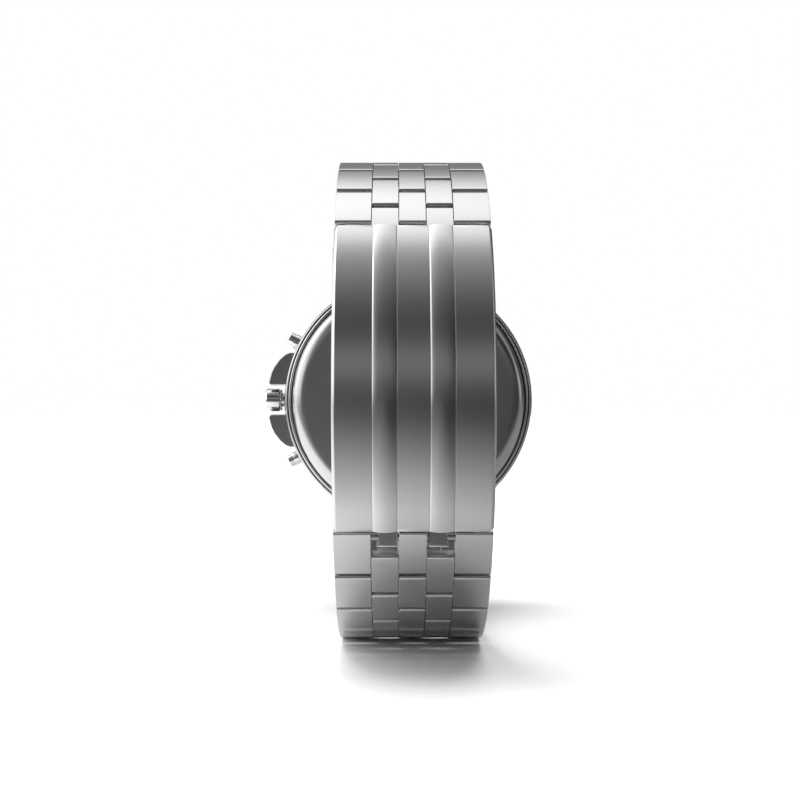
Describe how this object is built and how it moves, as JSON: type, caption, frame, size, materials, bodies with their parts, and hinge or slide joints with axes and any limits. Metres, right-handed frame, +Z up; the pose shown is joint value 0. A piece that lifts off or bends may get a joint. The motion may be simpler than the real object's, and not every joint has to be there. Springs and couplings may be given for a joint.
{
  "type": "dive watch on a steel bracelet",
  "caption": "Steel dive watch with turning bezel, screw crown, two pushers, five-column link bracelet and folding clasp, closed and standing on its bracelet.",
  "frame": {"origin": "on the surface that the watch stands on, under the middle of its bounding box", "axes": "+Z up, towards 12 o'clock; the dial faces -Y, the clasp is at +Y, and the crown at +X"},
  "size_m": [0.05, 0.0774, 0.0764],
  "materials": {
    "brushed_steel": "satin brushed stainless steel",
    "polished_steel": "polished stainless steel",
    "satin_steel": "fine circular satin on stainless steel",
    "pin_steel": "turned steel",
    "cell_steel": "nickel-plated cell can",
    "brass": "satin brass",
    "rubber": "black nitrile rubber",
    "crystal": "clear sapphire",
    "dial_black": "matt black lacquer",
    "insert_black": "black anodised ring with pale minute marks",
    "display": "grey-green liquid-crystal window",
    "hand_white": "white luminous paint"
  },
  "bodies": {
    "head": {"case_body": "brushed_steel", "caseback": "satin_steel", "caseback_gasket": "rubber", "crystal": "crystal", "bezel_click_spring": "brass", "movement": "brass", "battery": "cell_steel", "display_panel": "display", "dial": "dial_black", "end_link_12": "brushed_steel", "end_link_6": "brushed_steel", "spring_bar_12": "pin_steel", "spring_bar_6": "pin_steel", "narrow_link_6_1": "brushed_steel", "wide_link_6_1": "brushed_steel", "narrow_link_6_2": "brushed_steel", "wide_link_6_2": "brushed_steel", "narrow_link_6_3": "brushed_steel", "wide_link_6_3": "brushed_steel", "narrow_link_6_4": "brushed_steel", "wide_link_6_4": "brushed_steel"},
    "links_12_1": {"narrow_link_12_1": "brushed_steel", "wide_link_12_1": "brushed_steel", "narrow_link_12_2": "brushed_steel", "wide_link_12_2": "brushed_steel"},
    "links_12_2": {"narrow_link_12_3": "brushed_steel", "wide_link_12_3": "brushed_steel", "narrow_link_12_4": "brushed_steel", "wide_link_12_4": "brushed_steel"},
    "links_12_3": {"narrow_link_12_5": "brushed_steel", "wide_link_12_5": "brushed_steel", "narrow_link_12_6": "brushed_steel", "wide_link_12_6": "brushed_steel"},
    "links_12_4": {"narrow_link_12_7": "brushed_steel", "wide_link_12_7": "brushed_steel", "narrow_link_12_8": "brushed_steel"},
    "clasp_cover": {"clasp_cover": "brushed_steel", "clasp_hinge_pin_6": "pin_steel"},
    "clasp_middle_blade": {"clasp_middle_blade": "polished_steel", "clasp_hinge_pin_12": "pin_steel"},
    "clasp_end_blade": {"clasp_end_blade": "polished_steel"},
    "links_6_1": {"narrow_link_6_5": "brushed_steel", "wide_link_6_5": "brushed_steel", "narrow_link_6_6": "brushed_steel", "wide_link_6_6": "brushed_steel"},
    "links_6_2": {"narrow_link_6_7": "brushed_steel", "wide_link_6_7": "brushed_steel", "narrow_link_6_8": "brushed_steel"},
    "links_6_3": {"wide_link_6_8": "brushed_steel", "clasp_spring_bar": "pin_steel"},
    "bezel": {"bezel": "polished_steel", "bezel_insert": "insert_black"},
    "stem_slide": {"setting_lever": "brass"},
    "crown": {"crown": "polished_steel", "winding_stem": "pin_steel"},
    "pusher_2": {"pusher_2": "polished_steel"},
    "pusher_4": {"pusher_4": "polished_steel"},
    "hour_hand": {"hour_hand": "hand_white"},
    "minute_hand": {"minute_hand": "hand_white"},
    "seconds_hand": {"seconds_hand": "hand_white"}
  },
  "joints": [
    {"name": "link_pin_12_1", "type": "hinge", "parent": "head", "child": "links_12_1", "pos_m": [-0.00145, -0.02604, 0.06619], "axis": [1, 0, 0], "range_deg": [0, 19]},
    {"name": "link_pin_12_5", "type": "hinge", "parent": "links_12_1", "child": "links_12_2", "pos_m": [-0.00145, -0.01212, 0.07357], "axis": [1, 0, 0], "range_deg": [0, 19]},
    {"name": "link_pin_12_9", "type": "hinge", "parent": "links_12_2", "child": "links_12_3", "pos_m": [-0.00145, 0.00362, 0.07442], "axis": [1, 0, 0], "range_deg": [0, 19]},
    {"name": "link_pin_12_13", "type": "hinge", "parent": "links_12_3", "child": "links_12_4", "pos_m": [-0.00145, 0.01826, 0.06859], "axis": [1, 0, 0], "range_deg": [0, 19]},
    {"name": "link_pin_12_16", "type": "hinge", "parent": "links_12_4", "child": "clasp_cover", "pos_m": [-0.00145, 0.02688, 0.06044], "axis": [1, 0, 0], "range_deg": [0, 19]},
    {"name": "clasp_hinge_6", "type": "hinge", "parent": "clasp_cover", "child": "clasp_middle_blade", "pos_m": [-0.00145, 0.03269, 0.02429], "axis": [1, 0, 0], "range_deg": [0, 165]},
    {"name": "clasp_hinge_12", "type": "hinge", "parent": "clasp_middle_blade", "child": "clasp_end_blade", "pos_m": [-0.00145, 0.03167, 0.0534], "axis": [-1, 0, 0], "range_deg": [0, 165]},
    {"name": "link_pin_6_9", "type": "hinge", "parent": "head", "child": "links_6_1", "pos_m": [-0.00145, 0.00362, 0.00198], "axis": [-1, 0, 0], "range_deg": [0, 15]},
    {"name": "link_pin_6_13", "type": "hinge", "parent": "links_6_1", "child": "links_6_2", "pos_m": [-0.00145, 0.01826, 0.00781], "axis": [-1, 0, 0], "range_deg": [0, 15]},
    {"name": "link_pin_6_16", "type": "hinge", "parent": "links_6_2", "child": "links_6_3", "pos_m": [-0.00145, 0.02688, 0.01596], "axis": [-1, 0, 0], "range_deg": [0, 15]},
    {"name": "bezel_turn", "type": "hinge", "parent": "head", "child": "bezel", "pos_m": [-0.00145, -0.03631, 0.0382], "axis": [0, -1, 0], "continuous": true},
    {"name": "crown_pull", "type": "slide", "parent": "head", "child": "stem_slide", "axis": [1, 0, 0], "range_m": [0, 0.001]},
    {"name": "crown_turn", "type": "hinge", "parent": "stem_slide", "child": "crown", "pos_m": [0.01855, -0.03056, 0.0382], "axis": [1, 0, 0], "continuous": true},
    {"name": "pusher_2_press", "type": "slide", "parent": "head", "child": "pusher_2", "axis": [-0.887, 0, -0.4617], "range_m": [0, 0.0008], "stiffness_N_per_m": 2000, "springref_m": -0.0005},
    {"name": "pusher_4_press", "type": "slide", "parent": "head", "child": "pusher_4", "axis": [-0.887, 0, 0.4617], "range_m": [0, 0.0008], "stiffness_N_per_m": 2000, "springref_m": -0.0005},
    {"name": "hour_hand_turn", "type": "hinge", "parent": "head", "child": "hour_hand", "pos_m": [-0.00145, -0.03531, 0.0382], "axis": [0, 1, 0], "continuous": true},
    {"name": "minute_hand_turn", "type": "hinge", "parent": "head", "child": "minute_hand", "pos_m": [-0.00145, -0.03531, 0.0382], "axis": [0, 1, 0], "continuous": true},
    {"name": "seconds_hand_turn", "type": "hinge", "parent": "head", "child": "seconds_hand", "pos_m": [-0.00145, -0.03531, 0.0382], "axis": [0, 1, 0], "continuous": true}
  ],
  "couplings": [
    {"joint": "link_pin_12_1", "follows": "clasp_hinge_6", "ratio": 0.11212},
    {"joint": "link_pin_12_5", "follows": "clasp_hinge_6", "ratio": 0.11212},
    {"joint": "link_pin_12_9", "follows": "clasp_hinge_6", "ratio": 0.11212},
    {"joint": "link_pin_12_13", "follows": "clasp_hinge_6", "ratio": 0.11212},
    {"joint": "link_pin_12_16", "follows": "clasp_hinge_6", "ratio": 0.11212},
    {"joint": "clasp_hinge_12", "follows": "clasp_hinge_6", "ratio": 1},
    {"joint": "link_pin_6_9", "follows": "clasp_hinge_6", "ratio": 0.087273},
    {"joint": "link_pin_6_13", "follows": "clasp_hinge_6", "ratio": 0.087273},
    {"joint": "link_pin_6_16", "follows": "clasp_hinge_6", "ratio": 0.087273},
    {"joint": "hour_hand_turn", "follows": "minute_hand_turn", "ratio": 0.083333}
  ]
}
